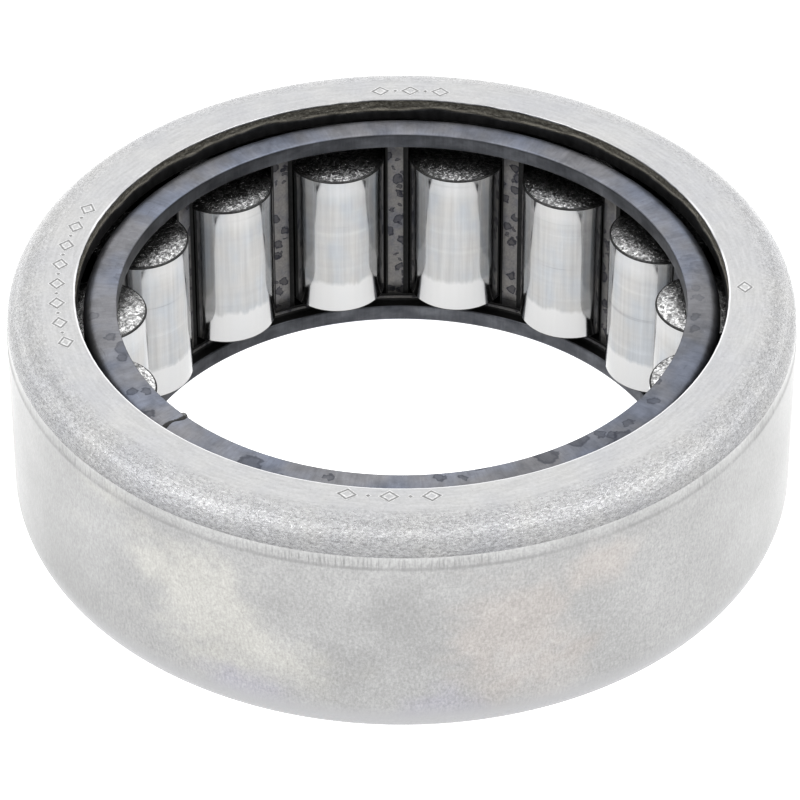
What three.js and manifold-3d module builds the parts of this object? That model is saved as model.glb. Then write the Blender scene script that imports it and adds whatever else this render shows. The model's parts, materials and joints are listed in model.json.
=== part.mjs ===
// A caged roller bearing of the drawn-cup kind, without an inner ring: the rollers run directly on the shaft.
//
// Frame: millimetres, +Z up along the bearing's axis, origin on the axis at the lower face.
// The outer ring stands still, the cage turns about Z and carries the rollers, and each roller spins about
// its own axis, which is parallel to Z.

import * as THREE from "three";
import { mergeVertices } from "three/addons/utils/BufferGeometryUtils.js";
import Module from "manifold-3d";

const wasm = await Module();
wasm.setup();

// ---------- driving dimensions ----------

// Outer ring: a cup drawn from thick sheet, with a lip turned in at each end.
const OUTER_R = 37.5; // ground outside surface
const WIDTH = 24.7; // over both lips
const LIP_BORE_R = 30.8;
const LOW_LIP = 3; // thickness of the lip that was the bottom of the drawn cup
const TOP_LIP = 2.5; // thickness of the lip that was turned in over the rollers
const LOW_CORNER = { radial: 4.1, axial: 4.2 }; // from a lip to the outside surface, part of an ellipse
const TOP_CORNER = { radial: 3.7, axial: 2.75 };
const GROUND_TOP_Z = 20.7; // the outside surface is ground up to here
const GRIND_STEP = 0.1; // the drawn surface beyond the ground one lies this far under it
const LIP_EDGE = 0.25; // break on the edges of the lip's bore
const CAVITY_FILLET = 0.5; // between a lip's inner side and the raceway

// Rollers.
const ROLLER_COUNT = 15;
const ROLLER_R = 4.9;
const ROLLER_LENGTH = 16.75;
const ROLLER_CHAMFER = 0.35;
const PITCH_R = 29.4; // circle through the roller axes
const FIRST_ROLLER_DEG = 7; // angle of roller_01 from +X
const ROLLER_REST_GAP = 0.1; // the rollers have sunk to the lower lip, this far short of touching it

// Cage: a strip with a window for each roller, rolled up into a ring with a flange turned in at each end.
const CAGE_OUTER_R = 30.2;
const CAGE_WALL = 1.9;
const CAGE_BORE_R = 27; // bore of the flanges
const CAGE_FLANGE = 1.7; // thickness of a flange
const CAGE_LENGTH = 23.05;
const CAGE_LOW_Z = 0.1; // height of its lower face: it floats between the rollers and has sunk almost to the end
const CAGE_BEND = 1.2; // outside radius of the bend into a flange
const CAGE_FILLET = 0.5; // inside radius of the same bend
const CAGE_EDGE = 0.15; // break on the edges of the flange's bore
const WINDOW_MARGIN = 0.7; // from a flange's inner side to the end of a window

// Running clearances.
const RACEWAY_CLEARANCE = 0.03; // roller to raceway
const WINDOW_CLEARANCE = 0.1; // roller to the sides of its window

// Facets round a full turn.
const RING_SIDES = 72;
const ROLLER_SIDES = 24;
const CORNER_STEPS = 4;
const BEND_STEPS = 2;

// ---------- worked out from the above ----------

const RACEWAY_R = PITCH_R + ROLLER_R + RACEWAY_CLEARANCE;
const CAGE_MID_Z = CAGE_LOW_Z + CAGE_LENGTH / 2;
const ROLLER_MID_Z = LOW_LIP + ROLLER_REST_GAP + ROLLER_LENGTH / 2;
const WINDOW_LENGTH = CAGE_LENGTH - 2 * (CAGE_FLANGE + WINDOW_MARGIN);
const WINDOW_R = ROLLER_R + WINDOW_CLEARANCE;

// ---------- geometry helpers ----------

const point = (r, z) => new THREE.Vector2(r, z);

// A polygon whose flats touch a circle of radius r has its corners at this radius.
const cornersAround = (r, sides) => r / Math.cos(Math.PI / sides);

// Points along a quarter of an ellipse about (r, z), from one angle to another.
function quarter(r, z, radial, axial, fromDeg, toDeg, steps) {
  return Array.from({ length: steps + 1 }, (_, i) => {
    const angle = THREE.MathUtils.degToRad(fromDeg + ((toDeg - fromDeg) * i) / steps);
    return point(r + radial * Math.cos(angle), z + axial * Math.sin(angle));
  });
}

// Turns an outline of (radius, height) points, anticlockwise with the radius to the right, about Z.
function turned(outline, sides) {
  return new THREE.LatheGeometry(outline, sides).rotateX(Math.PI / 2);
}

function turnedRing(outline, sides) {
  return turned([...outline, outline[0].clone()], sides);
}

// The upper part of an outline, from the same thing drawn for the lower part, mirrored at a height.
function mirrored(lowerHalf, height) {
  return lowerHalf.map((p) => point(p.x, 2 * height - p.y)).reverse();
}

function solidFrom(geometry) {
  geometry.deleteAttribute("normal");
  geometry.deleteAttribute("uv");
  const merged = mergeVertices(geometry, 1e-4);
  const vertProperties = new Float32Array(merged.attributes.position.array);
  const triVerts = new Uint32Array(merged.index.array);
  return new wasm.Manifold(new wasm.Mesh({ numProp: 3, vertProperties, triVerts }));
}

function geometryFrom(solid) {
  const mesh = solid.getMesh();
  const geometry = new THREE.BufferGeometry();
  geometry.setAttribute("position", new THREE.BufferAttribute(mesh.vertProperties, 3));
  geometry.setIndex(new THREE.BufferAttribute(mesh.triVerts, 1));
  geometry.computeVertexNormals();
  return geometry;
}

function part(name, geometry, color, roughness, metalness) {
  const material = new THREE.MeshStandardMaterial({ color, roughness, metalness, flatShading: true });
  const mesh = new THREE.Mesh(geometry, material);
  mesh.name = name;
  return mesh;
}

// ---------- outer ring ----------

// The inner side of a lip whose outer face is at height 0, from the raceway round to the lip's bore.
function insideOfLip(thickness) {
  const filletR = cornersAround(RACEWAY_R, RING_SIDES) - CAVITY_FILLET;
  return [
    ...quarter(filletR, thickness + CAVITY_FILLET, CAVITY_FILLET, CAVITY_FILLET, 0, -90, BEND_STEPS),
    point(LIP_BORE_R + LIP_EDGE, thickness),
    point(LIP_BORE_R, thickness - LIP_EDGE),
    point(LIP_BORE_R, LIP_EDGE),
  ];
}

// The outer face of a lip at height 0 and the drawn corner beyond it, up to the ground surface.
function outsideOfLip(corner, groundFrom) {
  const drawnR = OUTER_R - GRIND_STEP;
  return [
    point(LIP_BORE_R + LIP_EDGE, 0),
    ...quarter(drawnR - corner.radial, corner.axial, corner.radial, corner.axial, -90, 0, CORNER_STEPS),
    point(drawnR, groundFrom - GRIND_STEP),
    point(OUTER_R, groundFrom),
  ];
}

function outerRing() {
  const outline = [
    ...outsideOfLip(LOW_CORNER, LOW_CORNER.axial + 2 * GRIND_STEP),
    ...mirrored(outsideOfLip(TOP_CORNER, WIDTH - GROUND_TOP_Z), WIDTH / 2),
    ...mirrored(insideOfLip(TOP_LIP), WIDTH / 2),
    ...insideOfLip(LOW_LIP),
  ];
  return part("outer_ring", turnedRing(outline, RING_SIDES), "#b4b6b6", 0.38, 1);
}

// ---------- cage ----------

function cageBlank() {
  const wallR = CAGE_OUTER_R - CAGE_WALL;
  const flangeTop = CAGE_LOW_Z + CAGE_FLANGE;
  const outsideLow = [
    point(CAGE_BORE_R + CAGE_EDGE, CAGE_LOW_Z),
    ...quarter(CAGE_OUTER_R - CAGE_BEND, CAGE_LOW_Z + CAGE_BEND, CAGE_BEND, CAGE_BEND, -90, 0, BEND_STEPS),
  ];
  const insideLow = [
    point(wallR, flangeTop + CAGE_FILLET),
    point(wallR - CAGE_FILLET, flangeTop),
    point(CAGE_BORE_R + CAGE_EDGE, flangeTop),
    point(CAGE_BORE_R, flangeTop - CAGE_EDGE),
    point(CAGE_BORE_R, CAGE_LOW_Z + CAGE_EDGE),
  ];
  const outline = [
    ...outsideLow,
    ...mirrored(outsideLow, CAGE_MID_Z),
    ...mirrored(insideLow, CAGE_MID_Z),
    ...insideLow,
  ];
  return solidFrom(turnedRing(outline, RING_SIDES));
}

// Each window is cut by a cylinder on the roller's own axis. Its sides are closer together at the cage's
// inner face than the roller is thick, which keeps the roller from falling inwards.
function cage() {
  const cornerR = cornersAround(WINDOW_R, ROLLER_SIDES);
  let solid = cageBlank();
  for (let i = 0; i < ROLLER_COUNT; i++) {
    const cutter = new THREE.CylinderGeometry(cornerR, cornerR, WINDOW_LENGTH, ROLLER_SIDES);
    cutter.rotateX(Math.PI / 2).translate(...rollerAxis(i), CAGE_MID_Z);
    solid = solid.subtract(solidFrom(cutter));
  }
  return part("cage", geometryFrom(solid), "#5d6168", 0.5, 0.85);
}

// ---------- rollers ----------

// Where a roller's axis crosses the XY plane.
function rollerAxis(index) {
  const angle = THREE.MathUtils.degToRad(FIRST_ROLLER_DEG + (360 * index) / ROLLER_COUNT);
  return [PITCH_R * Math.cos(angle), PITCH_R * Math.sin(angle)];
}

function roller(index) {
  const top = ROLLER_LENGTH / 2;
  const lowerHalf = [
    point(0, -top),
    point(ROLLER_R - ROLLER_CHAMFER, -top),
    point(ROLLER_R, -top + ROLLER_CHAMFER),
  ];
  const outline = [...lowerHalf, ...mirrored(lowerHalf, 0)];
  const name = "roller_" + String(index + 1).padStart(2, "0");
  const mesh = part(name, turned(outline, ROLLER_SIDES), "#cfd2d4", 0.14, 1);
  mesh.position.set(...rollerAxis(index), ROLLER_MID_Z);
  return mesh;
}

// ---------- assembly ----------

const cageAndRollers = new THREE.Group();
cageAndRollers.add(cage());
for (let i = 0; i < ROLLER_COUNT; i++) cageAndRollers.add(roller(i));

const bearing = new THREE.Group();
bearing.add(outerRing(), cageAndRollers);

export default bearing;
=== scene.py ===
"""The looks of a drawn-cup roller bearing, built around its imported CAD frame.

Lengths are in metres in the frame's own axes: +Z is the bearing's axis and the lower face is at z = 0.
Shaders work in millimetres.
"""

import json
import math

import bpy
import numpy as np
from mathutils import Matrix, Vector


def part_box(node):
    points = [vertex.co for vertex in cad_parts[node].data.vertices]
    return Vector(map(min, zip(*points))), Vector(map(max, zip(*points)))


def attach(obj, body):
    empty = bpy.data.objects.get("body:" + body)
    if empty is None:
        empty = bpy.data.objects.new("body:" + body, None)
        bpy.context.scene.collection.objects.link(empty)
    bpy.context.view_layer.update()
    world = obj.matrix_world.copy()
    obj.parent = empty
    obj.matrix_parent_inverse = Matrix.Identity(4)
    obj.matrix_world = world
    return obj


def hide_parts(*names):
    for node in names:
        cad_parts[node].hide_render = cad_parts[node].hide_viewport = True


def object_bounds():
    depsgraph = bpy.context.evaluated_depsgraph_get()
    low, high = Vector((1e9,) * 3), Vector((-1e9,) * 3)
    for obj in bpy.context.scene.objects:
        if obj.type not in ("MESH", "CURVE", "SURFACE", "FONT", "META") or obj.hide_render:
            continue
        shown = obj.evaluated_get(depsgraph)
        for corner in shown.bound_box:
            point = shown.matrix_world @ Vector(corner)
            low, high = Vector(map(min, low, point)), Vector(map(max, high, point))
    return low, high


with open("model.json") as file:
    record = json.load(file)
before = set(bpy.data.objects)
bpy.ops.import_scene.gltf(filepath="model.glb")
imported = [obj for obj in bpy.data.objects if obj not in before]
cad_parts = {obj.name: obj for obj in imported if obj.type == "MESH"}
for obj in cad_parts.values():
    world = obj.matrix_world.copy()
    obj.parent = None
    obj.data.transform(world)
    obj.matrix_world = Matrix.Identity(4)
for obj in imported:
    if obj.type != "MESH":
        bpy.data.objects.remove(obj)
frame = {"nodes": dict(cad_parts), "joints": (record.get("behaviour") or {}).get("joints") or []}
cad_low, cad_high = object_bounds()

MM = 0.001
ROLLER_NODES = sorted(name for name in frame["nodes"] if name.startswith("roller_"))

# ---------- sizes read from the frame ----------

RING_R = cad_high.x
WIDTH = cad_high.z
CAGE_LOW, CAGE_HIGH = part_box("cage")
CAGE_R = CAGE_HIGH.x
ROLLER_LOW, ROLLER_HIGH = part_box(ROLLER_NODES[0])
ROLLER_R = (ROLLER_HIGH.x - ROLLER_LOW.x) / 2
ROLLER_AXES = {
    joint["child"]: Vector(joint["pos_m"]) for joint in frame["joints"] if joint["child"] in ROLLER_NODES
}
FIRST_AXIS = ROLLER_AXES[ROLLER_NODES[0]]
PITCH_R = math.hypot(FIRST_AXIS.x, FIRST_AXIS.y)
FIRST_ANGLE = math.atan2(FIRST_AXIS.y, FIRST_AXIS.x)
SECTOR = 2 * math.pi / len(ROLLER_NODES)

# ---------- sizes that match the CAD source ----------

LIP_BORE_R = 30.8 * MM
LOW_LIP = 3 * MM
TOP_LIP = 2.5 * MM
LOW_CORNER_RADIAL, LOW_CORNER_AXIAL = 4.1 * MM, 4.2 * MM
TOP_CORNER_RADIAL, TOP_CORNER_AXIAL = 3.7 * MM, 2.75 * MM
GRIND_STEP = 0.1 * MM
GROUND_LOW = LOW_CORNER_AXIAL + 2 * GRIND_STEP
GROUND_HIGH = 20.7 * MM
RACEWAY_R = PITCH_R + ROLLER_R + 0.03 * MM
CAGE_BORE_R = 27 * MM
CAGE_WALL_R = CAGE_R - 1.9 * MM
CAGE_BEND = 1.2 * MM
CAGE_FLANGE = 1.7 * MM
WINDOW_MARGIN = 0.7 * MM
WINDOW_R = ROLLER_R + 0.1 * MM


# ---------- camera ----------

def make_camera():
    """Looks down on the bearing's middle with a long lens."""
    elevation = math.radians(37.69)
    distance = 12.141 * RING_R
    data = bpy.data.cameras.new("camera")
    data.sensor_width = 36
    data.lens = 213.1
    data.shift_x = -0.0023
    data.shift_y = -0.0173
    data.clip_start = 0.01
    camera = bpy.data.objects.new("camera", data)
    camera.location = (0, -distance * math.cos(elevation), WIDTH / 2 + distance * math.sin(elevation))
    camera.rotation_euler = (math.pi / 2 - elevation, 0, 0)
    bpy.context.scene.collection.objects.link(camera)
    bpy.context.scene.camera = camera


# ---------- outlines and meshes ----------

def straight(start, end, steps):
    """Points from start up to, but without, end."""
    t = np.arange(steps)[:, None] / steps
    return np.array(start) * (1 - t) + np.array(end) * t


def curve(centre, radial, axial, from_deg, to_deg, steps):
    """Points along part of an ellipse in the (radius, height) plane, without the last one."""
    a = np.radians(from_deg + (to_deg - from_deg) * np.arange(steps) / steps)
    return np.array(centre) + np.stack([radial * np.cos(a), axial * np.sin(a)], axis=1)


def upright(r, heights):
    """Points at one radius and some heights."""
    return np.stack([np.full(len(heights), r), heights], axis=1)


def periodic_noise(theta, across, cells_round, cell, seed):
    """Smooth random values from -1 to 1 over an angle and a length, without a seam in the angle."""
    rng = np.random.default_rng(seed)
    rows = int(np.ptp(across) / cell) + 3
    table = rng.uniform(-1, 1, (rows, cells_round))
    u = (theta / (2 * math.pi) % 1) * cells_round
    v = (across - across.min()) / cell
    iu, iv = np.floor(u).astype(int), np.floor(v).astype(int)
    fu, fv = u - iu, v - iv
    fu, fv = fu * fu * (3 - 2 * fu), fv * fv * (3 - 2 * fv)
    iu, iu_next = iu % cells_round, (iu + 1) % cells_round
    low = table[iv, iu] * (1 - fu) + table[iv, iu_next] * fu
    high = table[iv + 1, iu] * (1 - fu) + table[iv + 1, iu_next] * fu
    return low * (1 - fv) + high * fv


def make_object(name, vertices, faces, materials, material_index, attributes=None, sharp_deg=35):
    """A smooth-shaded piece; attributes are named values, one for each vertex, that materials read."""
    mesh = bpy.data.meshes.new(name)
    mesh.from_pydata(np.asarray(vertices).tolist(), [], faces)
    for material in materials:
        mesh.materials.append(material)
    mesh.polygons.foreach_set("material_index", np.asarray(material_index, dtype=np.int32))
    for key, values in (attributes or {}).items():
        layer = mesh.attributes.new(key, "FLOAT", "POINT")
        layer.data.foreach_set("value", np.asarray(values, dtype=np.float32))
    mesh.polygons.foreach_set("use_smooth", np.ones(len(mesh.polygons), dtype=bool))
    mesh.set_sharp_from_angle(angle=math.radians(sharp_deg))
    mesh.update()
    piece = bpy.data.objects.new(name, mesh)
    bpy.context.scene.collection.objects.link(piece)
    return piece


def ring_faces(rows, sides):
    """Quads of a closed outline of some rows of points, turned through some sides."""
    faces = []
    for i in range(rows):
        a, b = i * sides, (i + 1) % rows * sides
        for j in range(sides):
            k = (j + 1) % sides
            faces.append((a + j, a + k, b + k, b + j))
    return faces


# ---------- shader helpers ----------

class Shader:
    """A short way to write node trees: every call adds a node and returns its output socket."""

    def __init__(self, name, **settings):
        self.material = bpy.data.materials.new(name)
        self.material.use_nodes = True
        self.tree = self.material.node_tree
        self.bsdf = self.tree.nodes["Principled BSDF"]
        for socket, value in settings.items():
            self.bsdf.inputs[socket.replace("_", " ").title()].default_value = value
        coordinates = self.tree.nodes.new("ShaderNodeTexCoord")
        self.mm = self.vector("SCALE", coordinates.outputs["Object"], scale=1 / MM)

    def put(self, socket, value):
        """Links an output to an input socket, or sets the socket to a plain value."""
        if isinstance(value, bpy.types.NodeSocket):
            self.tree.links.new(value, socket)
        else:
            socket.default_value = value

    def math(self, operation, *values, clamp=False):
        node = self.tree.nodes.new("ShaderNodeMath")
        node.operation = operation
        node.use_clamp = clamp
        for socket, value in zip(node.inputs, values):
            self.put(socket, value)
        return node.outputs[0]

    def vector(self, operation, *values, scale=None):
        node = self.tree.nodes.new("ShaderNodeVectorMath")
        node.operation = operation
        for socket, value in zip(node.inputs, values):
            self.put(socket, value)
        if scale is not None:
            self.put(node.inputs["Scale"], scale)
        return node.outputs["Value" if operation in ("LENGTH", "DOT_PRODUCT") else "Vector"]

    def stretched(self, x, y, z):
        return self.vector("MULTIPLY", self.mm, (x, y, z))

    def reach(self, direction):
        """Distance from the origin in a direction."""
        return self.vector("DOT_PRODUCT", self.mm, direction)

    def noise(self, vector, scale, detail=2.0, roughness=0.5, distortion=0.0):
        node = self.tree.nodes.new("ShaderNodeTexNoise")
        self.put(node.inputs["Vector"], vector)
        node.inputs["Scale"].default_value = scale
        node.inputs["Detail"].default_value = detail
        node.inputs["Roughness"].default_value = roughness
        node.inputs["Distortion"].default_value = distortion
        return node.outputs["Fac"]

    def noise_colour(self, vector, scale):
        node = self.tree.nodes.new("ShaderNodeTexNoise")
        self.put(node.inputs["Vector"], vector)
        node.inputs["Scale"].default_value = scale
        return node.outputs["Color"]

    def cells(self, vector, scale, output="Distance", flat=False):
        node = self.tree.nodes.new("ShaderNodeTexVoronoi")
        node.voronoi_dimensions = "2D" if flat else "3D"
        self.put(node.inputs["Vector"], vector)
        node.inputs["Scale"].default_value = scale
        return node.outputs[output]

    def attribute(self, name):
        node = self.tree.nodes.new("ShaderNodeAttribute")
        node.attribute_name = name
        return node.outputs["Fac"]

    def ramp(self, value, *stops):
        """A colour ramp; each stop is (position, (r, g, b)) or (position, grey)."""
        node = self.tree.nodes.new("ShaderNodeValToRGB")
        self.put(node.inputs[0], value)
        elements = node.color_ramp.elements
        while len(elements) < len(stops):
            elements.new(0.5)
        for element, (position, colour) in zip(elements, stops):
            element.position = position
            element.color = (*colour, 1) if isinstance(colour, tuple) else (colour, colour, colour, 1)
        return node.outputs[0]

    def mix(self, factor, a, b, blend="MIX"):
        node = self.tree.nodes.new("ShaderNodeMix")
        node.data_type = "RGBA"
        node.blend_type = blend
        self.put(node.inputs[0], factor)
        for socket, value in ((node.inputs[6], a), (node.inputs[7], b)):
            self.put(socket, (*value, 1) if isinstance(value, tuple) else value)
        return node.outputs[2]

    def range(self, value, low, high, to_low=0.0, to_high=1.0):
        """Maps a value linearly, and clamps it at both ends."""
        node = self.tree.nodes.new("ShaderNodeMapRange")
        self.put(node.inputs[0], value)
        for i, number in enumerate((low, high, to_low, to_high), start=1):
            self.put(node.inputs[i], number)
        return node.outputs[0]

    def bump(self, height, depth_mm):
        node = self.tree.nodes.new("ShaderNodeBump")
        self.put(node.inputs["Height"], height)
        node.inputs["Strength"].default_value = 1.0
        node.inputs["Distance"].default_value = depth_mm * MM
        return node.outputs[0]

    def radius(self):
        return self.vector("LENGTH", self.stretched(1, 1, 0))

    def height(self):
        return self.reach((0, 0, 1))

    def swept(self, cells_round, cells_along):
        """Coordinates for grain on the rings: cells per mm round the axis, and along the outline."""
        direction = self.vector("NORMALIZE", self.stretched(1, 1, 0))
        sweep = self.vector("SCALE", direction, scale=RING_R / MM * cells_round)
        node = self.tree.nodes.new("ShaderNodeCombineXYZ")
        along = self.math("SUBTRACT", self.height(), self.radius())
        self.put(node.inputs["Z"], self.math("MULTIPLY", along, cells_along))
        return self.vector("ADD", sweep, node.outputs[0])

    def unrolled(self):
        """Coordinates on the cage's wall as if it were rolled out flat: mm round the axis, and the height."""
        angle = self.math("ARCTAN2", self.reach((0, 1, 0)), self.reach((1, 0, 0)))
        node = self.tree.nodes.new("ShaderNodeCombineXYZ")
        self.put(node.inputs["X"], self.math("MULTIPLY", angle, CAGE_R / MM))
        self.put(node.inputs["Y"], self.height())
        return node.outputs[0]

    def shade(self, colour, value, *stops):
        """Darkens or lightens a colour by a ramp of factors."""
        return self.mix(1.0, colour, self.ramp(value, *stops), blend="MULTIPLY")

    def finish(self, colour, roughness, normal=None):
        self.put(self.bsdf.inputs["Base Color"], colour)
        self.put(self.bsdf.inputs["Roughness"], roughness)
        if normal is not None:
            self.put(self.bsdf.inputs["Normal"], normal)
        return self.material


# ---------- materials ----------

def ground_steel():
    """The ground outside surface: satin, with faint heat tints and fine upright grain."""
    plain = (0.345, 0.345, 0.344)
    tints = {"gold": (0.414, 0.410, 0.395), "pink": (0.393, 0.377, 0.366), "blue": (0.342, 0.340, 0.362)}
    drawn = (0.364, 0.364, 0.371)
    dark_line = (0.20, 0.20, 0.20)
    ground_low, ground_high = GROUND_LOW / MM, GROUND_HIGH / MM
    s = Shader("ground_steel", metallic=1.0)
    grain = s.noise(s.swept(4.5, 2.0), 1.0, detail=3, roughness=0.75)
    mottle = s.noise(s.mm, 4.0, detail=3, roughness=0.7)
    cloud = s.noise(s.mm, 0.09, detail=4, roughness=0.6)
    colour = plain
    for name, tint in tints.items():
        colour = s.mix(s.attribute(name), colour, tint)
    colour = s.shade(colour, s.attribute("dull"), (0.0, 1.0), (1.0, 0.90))
    colour = s.shade(colour, cloud, (0.3, 0.91), (0.7, 1.08))
    colour = s.shade(colour, grain, (0.3, 0.88), (0.7, 1.11))
    colour = s.shade(colour, mottle, (0.3, 0.88), (0.7, 1.12))
    colour = s.mix(s.range(s.height(), ground_low + 0.4, ground_low - 1.6), colour, drawn)
    above_step = s.range(s.height(), ground_high + 0.2, ground_high + 1.2)
    colour = s.shade(colour, above_step, (0.0, 0.97), (1.0, 1.12))
    hair = s.range(s.noise(s.swept(5.5, 0.3), 1.0, detail=2, roughness=0.7), 0.5, 0.64)
    colour = s.mix(s.math("MULTIPLY", s.attribute("ticks"), hair), colour, dark_line)
    colour = s.mix(s.attribute("step_line"), colour, dark_line)
    return s.finish(colour, roughness=s.range(mottle, 0.3, 0.7, 0.30, 0.44), normal=s.bump(grain, 0.02))


def drawn_steel():
    """The lips and corners as drawn: brushed on the flats, orange peel round the corners, with painted shade
    and a painted highlight on the upper corner, and a painted highlight along the lips' inner edge.
    """
    cool, warm = (0.388, 0.390, 0.400), (0.416, 0.415, 0.414)
    painted_highlight_grey = (0.70, 0.70, 0.71)
    s = Shader("drawn_steel", metallic=1.0)
    peel = s.attribute("peel")
    flecks = s.noise(s.swept(2.5, 4.4), 1.0, detail=3, roughness=0.75, distortion=0.5)
    streaks = s.noise(s.swept(0.35, 3.6), 1.0, detail=3, roughness=0.6)
    fine = s.noise(s.mm, 3.0, detail=4, roughness=0.7)
    cloud = s.noise(s.mm, 0.15, detail=4, roughness=0.65)
    colour = s.mix(s.range(cloud, 0.35, 0.65), cool, warm)
    colour = s.shade(colour, fine, (0.28, 0.90), (0.72, 1.07))
    colour = s.shade(colour, streaks, (0.3, 0.92), (0.7, 1.05))

    # Painted reflections on the upper corner: painted shade low on it, and a painted highlight band near its
    # shoulder.
    peel_and_painted_light = s.shade(colour, flecks, (0.34, 0.66), (0.46, 0.86), (0.55, 0.96), (0.67, 1.14))
    corner_foot, corner_head = (WIDTH - TOP_CORNER_AXIAL) / MM - 0.35, WIDTH / MM - 0.1
    peel_and_painted_light = s.shade(
        peel_and_painted_light,
        s.range(s.height(), corner_foot, corner_head),
        (0.00, 0.74),
        (0.12, 0.70),
        (0.33, 0.84),
        (0.60, 0.91),
        (0.74, 1.06),
        (0.92, 0.91),
        (1.00, 1.0),
    )
    colour = s.mix(peel, colour, peel_and_painted_light)
    # Painted highlight along the lips' inner edge.
    colour = s.mix(s.attribute("painted_edge_highlight"), colour, painted_highlight_grey)
    height = s.math("ADD", s.math("MULTIPLY", flecks, peel), s.math("MULTIPLY", fine, 0.1))
    roughness = s.math("SUBTRACT", s.range(fine, 0.3, 0.7, 0.28, 0.42), s.math("MULTIPLY", peel, 0.08))
    return s.finish(colour, roughness=roughness, normal=s.bump(height, 0.1))


def punched_steel():
    """The bore of a lip: a brown, torn fracture band next to a shear band painted dark, as the shade of the
    narrow gap beside the cage.
    """
    s = Shader("punched_steel", metallic=0.8)
    torn = s.attribute("torn")
    rough = s.noise(s.swept(2.4, 4.0), 1.0, detail=4, roughness=0.68)
    drag = s.noise(s.swept(1.0, 0.6), 1.0, detail=2)
    fracture = s.ramp(
        rough,
        (0.30, (0.08, 0.074, 0.062)),
        (0.48, (0.16, 0.152, 0.130)),
        (0.60, (0.21, 0.202, 0.178)),
        (0.74, (0.42, 0.40, 0.36)),
    )
    fracture = s.mix(s.attribute("tear_line"), fracture, (0.31, 0.295, 0.26))
    # The shear band is painted dark: painted shade of the gap beside the cage.
    sheared_painted_shade = s.ramp(drag, (0.3, (0.045, 0.045, 0.046)), (0.7, (0.085, 0.085, 0.087)))
    height = s.math("ADD", s.math("MULTIPLY", rough, torn), s.math("MULTIPLY", drag, 0.05))
    return s.finish(
        s.mix(torn, sheared_painted_shade, fracture),
        roughness=s.range(torn, 0, 1, 0.35, 0.7),
        normal=s.bump(height, 0.12),
    )


def raceway_steel():
    """The inside of the cup: ground and rolled smooth."""
    s = Shader("raceway_steel", metallic=1.0)
    lines = s.noise(s.swept(0.05, 3.0), 1.0, detail=3)
    return s.finish(s.ramp(lines, (0.3, 0.26), (0.7, 0.36)), roughness=s.range(lines, 0.3, 0.7, 0.22, 0.34))


def stains(s, place, scale, share, seed):
    """Strength of round stains in a share of the cells of a flat pattern; a stain is strongest at its rim."""
    wobble = s.vector("SCALE", s.noise_colour(s.mm, 1.4), scale=1.1)
    place = s.vector("ADD", place, (seed, 2.7 * seed, 0))
    place = s.vector("ADD", place, wobble)
    distance = s.cells(place, scale, flat=True)
    chosen = s.math("LESS_THAN", s.cells(place, scale, output="Color", flat=True), share)
    rim = s.ramp(distance, (0.0, 0.6), (0.20, 0.65), (0.27, 1.0), (0.31, 0.9), (0.36, 0.0))
    return s.math("MULTIPLY", chosen, rim)


def cage_flange_steel():
    """The flanges' faces: mottled blue-grey, finely scratched, with painted shade where they bend into the
    wall.
    """
    bluish, grey = (0.174, 0.188, 0.226), (0.194, 0.195, 0.206)
    bend_painted_shade, stain_dark = (0.06, 0.063, 0.07), (0.04, 0.043, 0.056)
    s = Shader("cage_flange_steel", metallic=0.9)
    cloud = s.noise(s.mm, 0.45, detail=5, roughness=0.65)
    tint = s.noise(s.mm, 0.16, detail=3)
    across = s.noise(s.swept(2.2, 0.5), 1.0, detail=4, roughness=0.7)
    scratches = s.noise(s.swept(0.5, 4.0), 1.0, detail=2, roughness=0.8, distortion=1.4)
    colour = s.mix(s.range(tint, 0.4, 0.6), bluish, grey)
    colour = s.shade(colour, cloud, (0.32, 0.74), (0.5, 0.98), (0.68, 1.18))
    colour = s.shade(colour, across, (0.3, 0.88), (0.7, 1.10))
    colour = s.shade(colour, scratches, (0.28, 0.82), (0.36, 1.0), (0.68, 1.0), (0.78, 1.35))
    dull_side = s.range(s.reach((0.85, -0.53, 0)), 20.0, 27.0)
    colour = s.shade(colour, dull_side, (0.0, 1.0), (1.0, 0.80))
    # Painted shade where the flanges bend into the wall.
    bend = s.range(s.radius(), CAGE_R / MM - 0.8, CAGE_R / MM - 0.1)
    colour = s.mix(s.math("MULTIPLY", bend, 0.3), colour, bend_painted_shade)
    stained_side = s.range(s.reach((0, 1, 0)), 8.0, -12.0, 0.12, 0.66)
    for scale, share, seed in ((0.30, 0.32, 3.1), (0.62, 0.26, 7.7)):
        stain = s.math("MULTIPLY", stains(s, s.mm, scale, share, seed), stained_side)
        colour = s.mix(stain, colour, stain_dark)
    height = s.math("ADD", across, s.math("MULTIPLY", scratches, 0.8))
    return s.finish(colour, roughness=s.range(cloud, 0.3, 0.7, 0.38, 0.5), normal=s.bump(height, 0.015))


def cage_wall_steel():
    """The bars between the windows: brownish, with dark spots and rings."""
    s = Shader("cage_wall_steel", metallic=0.85)
    cloud = s.noise(s.mm, 0.4, detail=4, roughness=0.65)
    speck = s.noise(s.mm, 4.0, detail=3, roughness=0.7)
    colour = s.ramp(
        cloud,
        (0.32, (0.125, 0.127, 0.140)),
        (0.5, (0.172, 0.168, 0.167)),
        (0.68, (0.212, 0.204, 0.195)),
    )
    colour = s.shade(colour, speck, (0.3, 0.82), (0.7, 1.15))
    rolled_out = s.unrolled()
    for scale, share, seed in ((0.65, 0.50, 1.7), (1.3, 0.32, 5.3)):
        stain = s.math("MULTIPLY", stains(s, rolled_out, scale, share, seed), 0.9)
        colour = s.mix(stain, colour, (0.03, 0.03, 0.04))
    return s.finish(colour, roughness=s.range(cloud, 0.3, 0.7, 0.36, 0.5), normal=s.bump(speck, 0.01))


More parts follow.
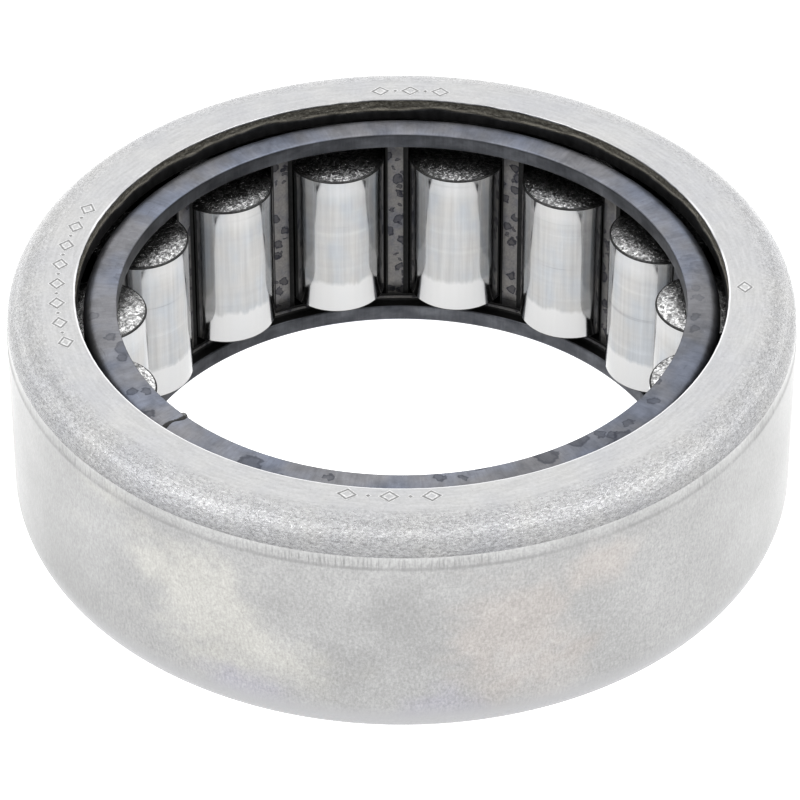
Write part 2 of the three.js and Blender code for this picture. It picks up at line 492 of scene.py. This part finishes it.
def cage_edge_steel():
    """The flanges' bore: dark and bluish, with painted shade on one side, and painted light on the lower
    flange.
    """
    s = Shader("cage_edge_steel", metallic=0.85)
    cloud = s.noise(s.swept(0.25, 0.6), 1.0, detail=4, roughness=0.6)
    across = s.noise(s.swept(2.5, 0.3), 1.0, detail=3, roughness=0.7)
    colour = s.ramp(
        cloud,
        (0.3, (0.058, 0.061, 0.069)),
        (0.5, (0.088, 0.091, 0.100)),
        (0.7, (0.128, 0.133, 0.145)),
    )
    colour = s.shade(colour, across, (0.3, 0.88), (0.7, 1.10))
    # Painted shade on one side of the bore.
    painted_shade_side = s.range(s.reach((0.93, -0.37, 0)), -12.0, -24.0)
    colour = s.shade(colour, painted_shade_side, (0.0, 1.0), (1.0, 0.62))
    # Painted light on the lower flange's bore.
    painted_light_low = s.range(s.height(), 3.0, 2.5)
    colour = s.mix(painted_light_low, colour, s.mix(1.0, colour, (1.25, 1.25, 1.25), blend="MULTIPLY"))
    return s.finish(colour, roughness=0.42, normal=s.bump(across, 0.015))


def cage_painted_shade_steel():
    """The windows' sides, the feet of the bars and the flanges' inner faces: painted near-black, as painted
    shade in these tight spots.
    """
    s = Shader("cage_painted_shade_steel", metallic=0.6)
    speck = s.noise(s.mm, 2.5, detail=3, roughness=0.7)
    return s.finish(s.ramp(speck, (0.3, 0.008), (0.7, 0.022)), roughness=0.5, normal=s.bump(speck, 0.01))


def roller_steel():
    """Ground and lapped, with painted reflections as brighter bands near the ends."""
    s = Shader("roller_steel", metallic=1.0)
    painted_reflection_grey = (0.515, 0.515, 0.515)
    low, high = ROLLER_LOW.z / MM, ROLLER_HIGH.z / MM
    wander = s.math("MULTIPLY_ADD", s.noise(s.stretched(1, 1, 0.05), 0.8, detail=3, roughness=0.7), 1.4, -0.7)
    height = s.math("ADD", s.height(), wander)
    low_band = s.range(height, low + 4.1, low + 3.6)
    high_band = s.math("MULTIPLY", s.range(height, high - 3.0, high - 1.6), 0.5)
    bands = s.math("ADD", low_band, high_band)
    along = s.noise(s.stretched(1, 1, 0.03), 2.4, detail=4, roughness=0.65)
    around = s.noise(s.stretched(0.02, 0.02, 1), 1.3, detail=4, roughness=0.7)
    patch = s.noise(s.stretched(1, 1, 0.5), 0.45, detail=3)
    colour = s.ramp(
        patch,
        (0.35, (0.385, 0.398, 0.415)),
        (0.5, (0.404, 0.406, 0.409)),
        (0.65, (0.414, 0.410, 0.405)),
    )
    colour = s.shade(colour, along, (0.3, 0.90), (0.7, 1.06))
    colour = s.shade(colour, around, (0.28, 0.80), (0.36, 0.96), (0.6, 1.0), (0.72, 1.07))
    # Painted reflections: brighter bands near the ends.
    colour = s.mix(s.math("MULTIPLY", bands, 0.85, clamp=True), colour, painted_reflection_grey)
    return s.finish(colour, roughness=s.range(around, 0.35, 0.65, 0.09, 0.15), normal=s.bump(along, 0.003))


def roller_end_steel():
    """The unground end of a roller: dark and grainy, with a few bright facets."""
    s = Shader("roller_end_steel", metallic=1.0)
    grain = s.cells(s.mm, 3.6, output="Color")
    speck = s.noise(s.mm, 3.6, detail=3, roughness=0.75)
    tone = s.math("ADD", s.math("MULTIPLY", grain, 0.3), s.math("MULTIPLY", speck, 0.7))
    colour = s.ramp(tone, (0.34, 0.15), (0.46, 0.34), (0.56, 0.54), (0.68, 0.86))
    return s.finish(colour, roughness=0.24, normal=s.bump(tone, 0.1))


def roller_corner_painted_reflection():
    """The rounded corner of a roller, painted near-black as a painted reflection of the dark cage flanges."""
    s = Shader("roller_corner_painted_reflection", metallic=0.9)
    speck = s.noise(s.mm, 5.0, detail=2)
    return s.finish(s.ramp(speck, (0.3, 0.03), (0.7, 0.08)), roughness=0.4)


def plain_steel(name, grey, roughness, specks_per_mm):
    s = Shader(name, metallic=0.9)
    speck = s.noise(s.mm, specks_per_mm, detail=3, roughness=0.7)
    return s.finish(s.ramp(speck, (0.3, 0.75 * grey), (0.7, 1.25 * grey)), roughness=roughness)


# ---------- outer ring ----------

RING_SIDES = 540


def patch(angle, z, at_deg, at_z, wide_deg, high, slope=0.0):
    """A ragged patch from 0 to 1 on the outside surface; a slope, in mm per degree, tilts it."""
    turn = (np.degrees(angle) - at_deg + 180) % 360 - 180
    up = (z - at_z) / MM - slope * turn
    ragged = 0.5 * periodic_noise(angle, z, 40, 3 * MM, 21) + 0.3 * periodic_noise(angle, z, 160, 1 * MM, 22)
    distance = np.sqrt((turn / wide_deg) ** 2 + (up / high) ** 2) + ragged
    return np.clip(1.7 - 1.25 * distance, 0, 1)


def heat_tints(angle, z):
    """Strength of each tint of the outside surface, and of its duller part."""
    return {
        "dull": patch(angle, z, 274, 9 * MM, 15, 9),
        "gold": patch(angle, z, 242, 12 * MM, 15, 5, -0.25),
        "pink": np.maximum(patch(angle, z, 287, 11 * MM, 8, 6.5), patch(angle, z, 299, 17 * MM, 6, 2.5)),
        "blue": np.maximum(patch(angle, z, 249, 3.5 * MM, 7, 2.5), patch(angle, z, 275, 3 * MM, 5, 3)),
    }


def ring_outline():
    """Points, materials and the strength of the orange peel, once round the ring's section."""
    drawn, ground, punched, inside = range(4)
    edge, fillet = 0.2 * MM, 0.5 * MM
    edge_r = LIP_BORE_R + edge
    flat_peel = 0.1
    stretches = []

    def add(points, material, peel=0.0):
        stretches.append((points, np.full(len(points), material), np.broadcast_to(peel, len(points))))

    # The lower face, its corner and the ground surface.
    corner_steps = 26
    low_centre = (RING_R - LOW_CORNER_RADIAL, LOW_CORNER_AXIAL)
    add(straight((edge_r, 0), (low_centre[0], 0), 6), drawn, flat_peel)
    add(curve(low_centre, LOW_CORNER_RADIAL, LOW_CORNER_AXIAL, -90, 0, corner_steps), ground)
    step_low, step_high = GROUND_HIGH - 0.1 * MM, GROUND_HIGH + 0.2 * MM
    add(straight((RING_R, LOW_CORNER_AXIAL), (RING_R, GROUND_HIGH - MM), 16), ground)
    add(straight((RING_R, GROUND_HIGH - MM), (RING_R, step_low), 6), ground)

    # The step down to the drawn surface, and the upper corner. Its peel grows from the lip outwards.
    drawn_r = RING_R - GRIND_STEP
    top_centre = (drawn_r - TOP_CORNER_RADIAL, WIDTH - TOP_CORNER_AXIAL)
    add(straight((RING_R, step_low), (drawn_r, step_high), 3), ground)
    add(straight((drawn_r, step_high), (drawn_r, top_centre[1]), 6), ground)
    from_lip_deg = 90 - np.arange(corner_steps) / corner_steps * 90
    corner_peel = np.interp(from_lip_deg, [0, 8, 25, 50, 90], [flat_peel, 0.5, 0.9, 1.0, 1.0])
    add(curve(top_centre, TOP_CORNER_RADIAL, TOP_CORNER_AXIAL, 0, 90, corner_steps), drawn, corner_peel)

    # The upper face, with a narrow row beside its edge for the painted edge highlight, and the upper lip's
    # bore.
    painted_edge_highlight_r = LIP_BORE_R + 1.4 * edge
    under = WIDTH - TOP_LIP
    add(straight((top_centre[0], WIDTH), (painted_edge_highlight_r, WIDTH), 8), drawn, flat_peel)
    add(straight((painted_edge_highlight_r, WIDTH), (edge_r, WIDTH), 1), drawn)
    add(curve((edge_r, WIDTH - edge), edge, edge, 90, 180, 4), drawn)
    add(straight((LIP_BORE_R, WIDTH - edge), (LIP_BORE_R, under + edge), 22), punched)
    add(curve((edge_r, under + edge), edge, edge, 180, 270, 3), punched)

    # The inside of the cup, and the lower lip's bore.
    deep_r = RACEWAY_R - fillet
    add(straight((edge_r, under), (deep_r, under), 3), inside)
    add(curve((deep_r, under - fillet), fillet, fillet, 90, 0, 4), inside)
    add(straight((RACEWAY_R, under - fillet), (RACEWAY_R, LOW_LIP + fillet), 4), inside)
    add(curve((deep_r, LOW_LIP + fillet), fillet, fillet, 0, -90, 4), inside)
    add(straight((deep_r, LOW_LIP), (edge_r, LOW_LIP), 3), inside)
    add(curve((edge_r, LOW_LIP - edge), edge, edge, 90, 180, 3), punched)
    add(straight((LIP_BORE_R, LOW_LIP - edge), (LIP_BORE_R, edge), 22), punched)
    add(curve((edge_r, edge), edge, edge, 180, 270, 3), drawn, flat_peel)
    return [np.concatenate(column) for column in zip(*stretches)]


def noise_round(angle, cells_round, seed):
    """Noise that changes only with the angle."""
    return periodic_noise(angle, angle * 0, cells_round, 1, seed)


def fracture(angle, r, z, nearer_end):
    """On the lips' bores: how torn the points are, the light line near the tear's limit, and the depth."""
    in_bore = (r < LIP_BORE_R + 0.19 * MM) & (nearer_end < LOW_LIP)
    wander = 0.14 * noise_round(angle, 90, 11) + 0.22 * noise_round(angle, 31, 12)
    limit = (1.3 + wander) * MM
    torn = in_bore * np.clip((limit - nearer_end) / (0.12 * MM), 0, 1)
    tear_line = torn * np.clip(1 - np.abs(limit - 0.22 * MM - nearer_end) / (0.2 * MM), 0, 1)
    coarse, fine = periodic_noise(angle, z, 260, 0.3 * MM, 13), periodic_noise(angle, z, 540, 0.17 * MM, 14)
    ragged = coarse + 0.6 * fine
    fade = np.clip(nearer_end / (0.3 * MM), 0, 1)
    return torn, tear_line, torn * fade * (0.09 + 0.06 * ragged) * MM


def grinding_marks(angle, z):
    """Short upright ticks where the grinding wheel has run out, and a thin dark line along its step."""
    past_step = (z - GROUND_HIGH) / MM
    near_step = np.clip(1.4 - np.abs(past_step - 0.55) / 0.6, 0, 1)
    on_step = np.clip(1.2 - np.abs(past_step + 0.05) / 0.2, 0, 1)
    ticks = near_step * np.clip(0.35 + 0.7 * noise_round(angle, 50, 31), 0.05, 0.8)
    step_line = on_step * (0.34 + 0.16 * noise_round(angle, 130, 32))
    return ticks, step_line


def outer_ring():
    """The cup and its two lips: one section turned about the axis, with its fracture and a painted edge
    highlight worked in.
    """
    outline, material, peel = ring_outline()
    theta = np.arange(RING_SIDES) / RING_SIDES * 2 * math.pi
    angle = np.tile(theta, len(outline))
    r, z = np.repeat(outline[:, 0], RING_SIDES), np.repeat(outline[:, 1], RING_SIDES)
    nearer_end = np.minimum(z, WIDTH - z)
    torn, tear_line, tear_depth = fracture(angle, r, z, nearer_end)
    r = r + tear_depth

    # A painted highlight along the lips' inner edge, on the front and the sides, and none at the back.
    on_edge = (r < LIP_BORE_R + 0.21 * MM) & (nearer_end < 0.19 * MM)
    painted_edge_highlight = on_edge * np.clip(0.7 - 1.5 * np.sin(angle) + 0.5 * noise_round(angle, 60, 41), 0, 0.7)
    ticks, step_line = grinding_marks(angle, z)
    vertices = np.stack([r * np.cos(angle), r * np.sin(angle), z], axis=1)
    ring = make_object(
        "ring_shell",
        vertices,
        ring_faces(len(outline), RING_SIDES),
        [drawn_steel(), ground_steel(), punched_steel(), raceway_steel()],
        np.repeat(material, RING_SIDES),
        {
            "peel": np.repeat(peel, RING_SIDES),
            "torn": torn,
            "tear_line": tear_line,
            "painted_edge_highlight": painted_edge_highlight,
            "ticks": ticks,
            "step_line": step_line,
            **heat_tints(angle, z),
        },
    )
    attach(ring, "ring")
    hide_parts("outer_ring")


# ---------- marks ----------

def stamped_marks():
    """Rows of small lozenges and dots that spell nothing: sheets just above the lip, with painted shade on
    their floors and a painted highlight on their rims, so that they look like grooves.
    """
    rows = [  # middle angle, radius, number of marks, distance between them
        (math.radians(88.5), 32.3 * MM, 5, 1.5 * MM),
        (math.radians(-92), 32.1 * MM, 5, 1.9 * MM),
        (math.radians(177.5), 32.6 * MM, 15, 1.55 * MM),
        (math.radians(-1.2), 32.4 * MM, 1, 1.0 * MM),
    ]
    high, wide, dot = 0.78 * MM, 0.92 * MM, 0.2 * MM  # half sizes
    groove, rim = 0.22 * MM, 0.13 * MM
    rim_lift, floor_lift = 0.006 * MM, 0.012 * MM
    almost_closed = 0.01
    rim_highlight, floor_shade = range(2)
    corners = np.array([(1, 0), (0, 1), (-1, 0), (0, -1)])
    vertices, faces, material = [], [], []

    def lozenge(angle, radius, half_high, half_wide, inner, lift, index):
        """A lozenge with a lozenge-shaped hole, whose size is a share of its own."""
        outward = np.array([math.cos(angle), math.sin(angle)])
        sideways = np.array([-outward[1], outward[0]])
        start = len(vertices)
        for share in (1, inner):
            for out, side in corners * share:
                place = outward * (radius + out * half_high) + sideways * (side * half_wide)
                vertices.append((*place, WIDTH + lift))
        for i in range(4):
            k = (i + 1) % 4
            faces.append((start + i, start + k, start + 4 + k, start + 4 + i))
            material.append(index)

    for middle, radius, count, pitch in rows:
        for i in range(count):
            at = (middle + (i - (count - 1) / 2) * pitch / radius, radius)
            if i % 2:
                lozenge(*at, dot + rim, dot + rim, almost_closed, rim_lift, rim_highlight)
                lozenge(*at, dot, dot, almost_closed, floor_lift, floor_shade)
            else:
                lozenge(*at, high + rim, wide + rim, 1 - (groove + 2 * rim) / high, rim_lift, rim_highlight)
                lozenge(*at, high, wide, 1 - groove / high, floor_lift, floor_shade)
    # The rims are painted light and the floors painted dark, as the highlight and shade of a groove.
    marks = make_object(
        "ring_marks",
        vertices,
        faces,
        [plain_steel("mark_rim_painted_highlight", 0.48, 0.35, 4.0), plain_steel("mark_floor_painted_shade", 0.24, 0.45, 4.0)],
        material,
    )
    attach(marks, "ring")


# ---------- cage ----------

def window_half_angle(r):
    """How far from its roller's axis a window reaches at a radius: its sides are part of a cylinder."""
    r = np.clip(r, CAGE_WALL_R, CAGE_R)
    return np.arccos((r * r + PITCH_R * PITCH_R - WINDOW_R * WINDOW_R) / (2 * r * PITCH_R))


class CageGrid:
    """The cage's section swept round: rows are points of the section, columns follow windows and bars."""

    RAISE = 0.06 * MM  # the bars' inner faces stand this far in from the wall
    GROOVE = 0.10 * MM  # depth of the groove at the foot and the head of the wall
    FACE_FOOT = 0.78 * MM  # from a window's lower end to the end of the raised face
    FACE_HEAD = 0.12 * MM  # the same at the upper end

    def __init__(self):
        self.flange, self.wall, self.edge, self.painted_shade = range(4)
        self.stretches = []
        self.window_columns = 13
        self.build_section()
        self.build_columns()

    def add(self, points, material):
        """Adds a stretch of the section, and returns the row that it starts at."""
        start = sum(len(points) for points, _ in self.stretches)
        self.stretches.append((np.asarray(points), material))
        return start

    def build_section(self):
        low, high = CAGE_LOW.z, CAGE_HIGH.z
        edge, bend, fillet = 0.15 * MM, CAGE_BEND, 0.4 * MM
        edge_r, bend_r, fillet_r = CAGE_BORE_R + edge, CAGE_R - bend, CAGE_WALL_R - fillet
        sill_low, sill_high = low + CAGE_FLANGE + WINDOW_MARGIN, high - CAGE_FLANGE - WINDOW_MARGIN
        step, groove_high = 0.04 * MM, 0.12 * MM
        groove_r = CAGE_WALL_R + self.GROOVE

        # Heights of the rows beside a window, closest together where the raised face of a bar ends.
        self.levels = np.concatenate([
            [sill_low, sill_low + self.FACE_FOOT - step, sill_low + self.FACE_FOOT + step],
            np.linspace(sill_low + 2 * MM, sill_high - 2 * MM, 9),
            [sill_high - self.FACE_HEAD - step, sill_high - self.FACE_HEAD + step, sill_high],
        ])
        self.top_level = len(self.levels) - 1

        # The outside, from the lower face over both bends to the upper face.
        self.add(straight((edge_r, low), (bend_r, low), 6), self.flange)
        self.add(curve((bend_r, low + bend), bend, bend, -90, 0, 8), self.flange)
        self.add([(CAGE_R, low + bend)], self.wall)
        self.outer_start = self.add(upright(CAGE_R, self.levels), self.wall)
        self.add(curve((bend_r, high - bend), bend, bend, 0, 90, 8), self.flange)
        self.add(straight((bend_r, high), (edge_r, high), 6), self.flange)

        # The upper flange's bore and underside, and the wall down to the lower flange.
        under, over = high - CAGE_FLANGE, low + CAGE_FLANGE
        self.add(curve((edge_r, high - edge), edge, edge, 90, 180, 3), self.flange)
        self.add(straight((CAGE_BORE_R, high - edge), (CAGE_BORE_R, under + edge), 4), self.edge)
        self.add(curve((edge_r, under + edge), edge, edge, 180, 270, 3), self.edge)
        # The underside of the upper flange and its fillet carry the painted shade.
        self.add(straight((edge_r, under), (fillet_r, under), 4), self.painted_shade)
        self.add(curve((fillet_r, under - fillet), fillet, fillet, 90, 0, 5), self.painted_shade)
        self.add([(CAGE_WALL_R, under - fillet)], self.painted_shade)
        self.add([(groove_r, sill_high + groove_high)], self.painted_shade)
        self.inner_start = self.add(upright(CAGE_WALL_R, self.levels[::-1]), self.wall)
        self.add([(groove_r, sill_low - groove_high)], self.painted_shade)

        # The lower flange's upper side and bore.
        self.add(curve((fillet_r, over + fillet), fillet, fillet, 0, -36, 2), self.wall)
        # The lower flange's upper side carries the painted shade.
        self.add(curve((fillet_r, over + fillet), fillet, fillet, -36, -90, 3), self.painted_shade)
        self.add(straight((fillet_r, over), (edge_r, over), 4), self.painted_shade)
        self.add(curve((edge_r, over - edge), edge, edge, 90, 180, 3), self.edge)
        self.add(straight((CAGE_BORE_R, over - edge), (CAGE_BORE_R, low + edge), 4), self.edge)
        self.add(curve((edge_r, low + edge), edge, edge, 180, 270, 3), self.flange)
        self.section = np.concatenate([points for points, _ in self.stretches])
        self.row_material = np.concatenate([np.full(len(points), m) for points, m in self.stretches])

    def build_columns(self):
        """Columns stand at shares of a window's half width and of a bar's width."""
        self.across_window = np.linspace(-1, 1, self.window_columns)
        self.across_bar = np.array([0.18, 0.22, 0.4, 0.55, 0.7, 0.91, 0.95])
        self.sector_columns = self.window_columns + len(self.across_bar)
        self.columns = self.sector_columns * len(ROLLER_NODES)
        self.in_sector = np.arange(self.columns) % self.sector_columns
        self.raised = (self.in_sector > self.window_columns) & (self.in_sector < self.sector_columns - 1)

    def angles(self, r):
        """Angles of all columns at a radius."""
        half = window_half_angle(r)
        one = np.concatenate([self.across_window * half, half + self.across_bar * (SECTOR - 2 * half)])
        starts = FIRST_ANGLE + SECTOR * np.arange(len(ROLLER_NODES))
        return (starts[:, None] + one).ravel()

    def positions(self):
        grid = np.zeros((len(self.section), self.columns, 3))
        for i, (r, z) in enumerate(self.section):
            theta = self.angles(r)
            radius = np.full(self.columns, r)
            if self.inner_start + 1 < i < self.inner_start + self.top_level - 1:
                radius[self.raised] -= self.RAISE
            grid[i, :, 0] = radius * np.cos(theta)
            grid[i, :, 1] = radius * np.sin(theta)
            grid[i, :, 2] = z
        return grid

    def open_between(self, i, j):
        """Whether the face between rows i, i + 1 and columns j, j + 1 lies in a window."""
        outer = self.outer_start <= i < self.outer_start + self.top_level
        inner = self.inner_start <= i < self.inner_start + self.top_level
        return self.in_sector[j] < self.window_columns - 1 and (outer or inner)

    def material_of(self, i, j):
        """The strips beside and below a bar's raised face take the painted shade."""
        on_bar = self.inner_start <= i < self.inner_start + self.top_level
        beside = on_bar and not (self.raised[j] and self.raised[(j + 1) % self.columns])
        below_face = i == self.inner_start + self.top_level - 2
        return self.painted_shade if beside or below_face else self.row_material[i]

    def window_rim(self, sector):
        """(column, level) pairs once round a window."""
        first = sector * self.sector_columns
        last = first + self.window_columns - 1
        top = self.top_level
        rim = [(c, 0) for c in range(first, last)] + [(last, n) for n in range(top)]
        return rim + [(c, top) for c in range(last, first, -1)] + [(first, n) for n in range(top, 0, -1)]


def window_linings(layout, vertices, faces, material):
    """Adds the linings of the windows, from the inner wall's vertices to the outer wall's."""
    for sector in range(len(ROLLER_NODES)):
        rim = layout.window_rim(sector)
        loops = [[(layout.inner_start + layout.top_level - n) * layout.columns + c for c, n in rim]]
        for t in (0.2, 0.4, 0.6, 0.8):
            r = CAGE_WALL_R + (CAGE_R - CAGE_WALL_R) * t
            theta = layout.angles(r)
            loops.append(list(range(len(vertices), len(vertices) + len(rim))))
            vertices += [[r * math.cos(theta[c]), r * math.sin(theta[c]), layout.levels[n]] for c, n in rim]
        loops.append([(layout.outer_start + n) * layout.columns + c for c, n in rim])
        # The linings carry the painted shade.
        for a, b in zip(loops, loops[1:]):
            for n in range(len(rim)):
                m = (n + 1) % len(rim)
                faces.append((a[n], b[n], b[m], a[m]))
                material.append(layout.painted_shade)


def cage():
    """The walls and flanges as one grid with holes for the windows, and a lining in each window."""
    layout = CageGrid()
    rows, columns = len(layout.section), layout.columns
    vertices = layout.positions().reshape(-1, 3).tolist()
    faces, material = [], []
    for i in range(rows):
        up = (i + 1) % rows
        for j in range(columns):
            if layout.open_between(i, j):
                continue
            right = (j + 1) % columns
            faces.append((i * columns + j, i * columns + right, up * columns + right, up * columns + j))
            material.append(layout.material_of(i, j))
    window_linings(layout, vertices, faces, material)
    piece = make_object(
        "cage_strip",
        vertices,
        faces,
        [cage_flange_steel(), cage_wall_steel(), cage_edge_steel(), cage_painted_shade_steel()],
        material,
        sharp_deg=40,
    )
    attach(piece, "cage")
    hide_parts("cage")


WELD_ANGLE = math.radians(223)


def weld_line(rng, face_z, outward, across):
    """Points of a low ragged bead over a flange's face, from the bore to the bend, in rows of some points."""
    steps = 30
    inner_r, outer_r = CAGE_BORE_R + 0.12 * MM, CAGE_R - 0.3 * MM
    slant, sway, jitter = math.radians(-0.7), math.radians(0.18), 0.0012
    points = []
    for i in range(steps):
        t = i / (steps - 1)
        r = inner_r + t * (outer_r - inner_r)
        middle = WELD_ANGLE + slant * t + sway * math.sin(9 * t) + rng.uniform(-1, 1) * jitter
        half_width = (0.14 + 0.12 * math.sin(5 * t + 1) ** 2 + 0.03 * rng.uniform(-1, 1)) * MM
        drop = max(t - 0.72, 0) ** 2 * 3.2 * MM
        for j in range(across):
            s = (2 * j / (across - 1) - 1) * outward
            rise = 0.05 * MM * (1 - s * s) * (0.7 + 0.3 * rng.uniform(-1, 1)) - drop
            angle = middle + s * half_width / r
            points.append((r * math.cos(angle), r * math.sin(angle), face_z + outward * rise))
    return points


def weld_lump(face_z, outward, around):
    """Points of an uneven flattened ball, sunk into the edge of the flange's bore."""
    long, deep, tall = 0.42 * MM, 0.38 * MM, 0.7 * MM
    middle = WELD_ANGLE - math.radians(0.9)
    inward = Vector((-math.cos(middle), -math.sin(middle), 0))
    sideways = Vector((-math.sin(middle), math.cos(middle), 0))
    centre_z = face_z - outward * 0.62 * MM
    centre = Vector((CAGE_BORE_R * math.cos(middle), CAGE_BORE_R * math.sin(middle), centre_z))
    points = []
    for latitude in np.radians(np.linspace(-80, 90, 12)):
        for longitude in np.radians(np.linspace(0, 360, around)):
            flat = math.cos(latitude)
            turn = longitude * outward
            lump = 1 + 0.12 * math.sin(3 * turn + 1) * flat
            point = centre + inward * deep * flat * math.cos(turn) * lump
            point += sideways * long * flat * math.sin(turn) * lump
            point.z += outward * tall * math.sin(latitude)
            points.append(tuple(point))
    return points


def cage_seam():
    """The butt weld where the rolled-up strip meets itself: a ragged line with a lump at its inner end."""
    rng = np.random.default_rng(5)
    across, around = 7, 25
    line_metal, lump_metal = range(2)
    vertices, faces, material = [], [], []

    def sheet(points, columns, index):
        """Adds rows of points as a sheet of quads."""
        start, rows = len(vertices), len(points) // columns
        vertices.extend(points)
        for i in range(rows - 1):
            for j in range(columns - 1):
                a = start + i * columns + j
                faces.append((a, a + columns, a + columns + 1, a + 1))
                material.append(index)

    for face_z, outward in ((CAGE_HIGH.z, 1), (CAGE_LOW.z, -1)):
        sheet(weld_line(rng, face_z, outward, across), across, line_metal)
        sheet(weld_lump(face_z, outward, around), around, lump_metal)
    seam = make_object(
        "cage_seam",
        vertices,
        faces,
        [plain_steel("seam_steel", 0.045, 0.45, 5.0), plain_steel("lump_steel", 0.17, 0.42, 3.0)],
        material,
        sharp_deg=60,
    )
    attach(seam, "cage")


# ---------- rollers ----------

def roller_outline():
    """Points and materials of half a roller's section, from the middle of the lower end to the upper one."""
    end, rounded, body = range(3)
    corner, hub = 0.17 * MM, 0.3 * MM
    crown, flat_r = 0.35 * MM, 2.0 * MM
    low, high = ROLLER_LOW.z, ROLLER_HIGH.z
    end_r = ROLLER_R - corner
    low_corner_z, high_corner_z = low + crown + corner, high - crown - corner

    # The ends are slightly domed: flat in the middle and falling away towards the rounded corner.
    dome_r = np.linspace(flat_r, end_r, 9)
    fall = crown * ((dome_r - flat_r) / (end_r - flat_r)) ** 2
    stretches = [
        (straight((hub, low), (flat_r, low), 3), end),
        (np.column_stack([dome_r, low + fall])[:-1], end),
        (curve((end_r, low_corner_z), corner, corner, -90, 0, 8), rounded),
        (straight((ROLLER_R, low_corner_z), (ROLLER_R, high_corner_z), 10), body),
        (curve((end_r, high_corner_z), corner, corner, 0, 90, 8), rounded),
        (np.column_stack([dome_r, high - fall])[:0:-1], end),
        (straight((flat_r, high), (hub, high), 3), end),
        (np.array([(hub, high)]), end),
    ]
    outline = np.concatenate([points for points, _ in stretches])
    return outline, np.concatenate([np.full(len(points), index) for points, index in stretches])


def rollers():
    """Every roller is the same shape round its own axis; the middles of its ends are closed by a polygon."""
    sides = 96
    outline, row_material = roller_outline()
    last = len(outline) - 1
    faces = ring_faces(len(outline), sides)[: last * sides]
    faces += [tuple(range(sides - 1, -1, -1)), tuple(range(last * sides, (last + 1) * sides))]
    material = np.repeat(row_material[:last], sides).tolist() + [row_material[0], row_material[last]]
    theta = np.tile(np.arange(sides) / sides * 2 * math.pi, len(outline))
    r, z = np.repeat(outline[:, 0], sides), np.repeat(outline[:, 1], sides)
    materials = [roller_end_steel(), roller_corner_painted_reflection(), roller_steel()]
    for name in ROLLER_NODES:
        axis = ROLLER_AXES[name]
        vertices = np.stack([axis.x + r * np.cos(theta), axis.y + r * np.sin(theta), z], axis=1)
        piece = make_object(name + "_ground", vertices, faces, materials, material, sharp_deg=30)
        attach(piece, name)
        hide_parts(name)


# ---------- studio ----------

def make_floor():
    """A wide white surface that glows, just under the bearing."""
    half = 3.0
    corners = [(-half, -half, 0), (half, -half, 0), (half, half, 0), (-half, half, 0)]
    mesh = bpy.data.meshes.new("floor")
    mesh.from_pydata(corners, [], [(0, 1, 2, 3)])
    floor = bpy.data.objects.new("floor", mesh)
    floor.location.z = -0.02 * MM
    bpy.context.scene.collection.objects.link(floor)
    material = bpy.data.materials.new("floor")
    material.use_nodes = True
    bsdf = material.node_tree.nodes["Principled BSDF"]
    bsdf.inputs["Base Color"].default_value = (0.5, 0.5, 0.5, 1)
    bsdf.inputs["Roughness"].default_value = 0.9
    bsdf.inputs["Specular IOR Level"].default_value = 0.0
    bsdf.inputs["Emission Color"].default_value = (1, 1, 1, 1)
    bsdf.inputs["Emission Strength"].default_value = 1.06
    mesh.materials.append(material)


def make_world():
    """A white tent, with a darker opening high at the front."""
    opening = Vector((0, -0.82, 0.57)).normalized()
    stops = [(0.0, 1.0), (0.35, 0.88), (0.60, 0.94), (0.90, 0.91), (0.975, 0.72), (1.0, 0.36)]
    strength = 1.9
    world = bpy.data.worlds.new("studio")
    bpy.context.scene.world = world
    world.use_nodes = True
    tree = world.node_tree
    background = tree.nodes["Background"]
    background.inputs["Color"].default_value = (1, 1, 1, 1)
    coordinates = tree.nodes.new("ShaderNodeTexCoord")
    towards = tree.nodes.new("ShaderNodeVectorMath")
    towards.operation = "DOT_PRODUCT"
    tree.links.new(coordinates.outputs["Generated"], towards.inputs[0])
    towards.inputs[1].default_value = opening
    ramp = tree.nodes.new("ShaderNodeValToRGB")
    tree.links.new(towards.outputs["Value"], ramp.inputs[0])
    while len(ramp.color_ramp.elements) < len(stops):
        ramp.color_ramp.elements.new(0.5)
    for element, (position, grey) in zip(ramp.color_ramp.elements, stops):
        element.position = position
        element.color = (grey, grey, grey, 1)
    level = tree.nodes.new("ShaderNodeMath")
    level.operation = "MULTIPLY"
    tree.links.new(ramp.outputs[0], level.inputs[0])
    level.inputs[1].default_value = strength
    tree.links.new(level.outputs[0], background.inputs["Strength"])


def softbox(name, location, size, watts):
    """A square light that faces the bearing's middle."""
    middle = Vector((0, 0, 0.01))
    data = bpy.data.lights.new(name, "AREA")
    data.size = size
    data.energy = watts
    light = bpy.data.objects.new(name, data)
    light.location = location
    light.rotation_euler = (middle - light.location).to_track_quat("-Z", "Y").to_euler()
    bpy.context.scene.collection.objects.link(light)


def make_studio():
    view = bpy.context.scene.view_settings
    view.view_transform = "Standard"
    view.gamma = 0.8
    make_floor()
    make_world()
    for name, x in (("left", -0.56), ("right", 0.56)):
        softbox(name, (x, -0.22, 0.80), 0.35, 1.9)


make_camera()
outer_ring()
stamped_marks()
cage()
cage_seam()
rollers()
make_studio()
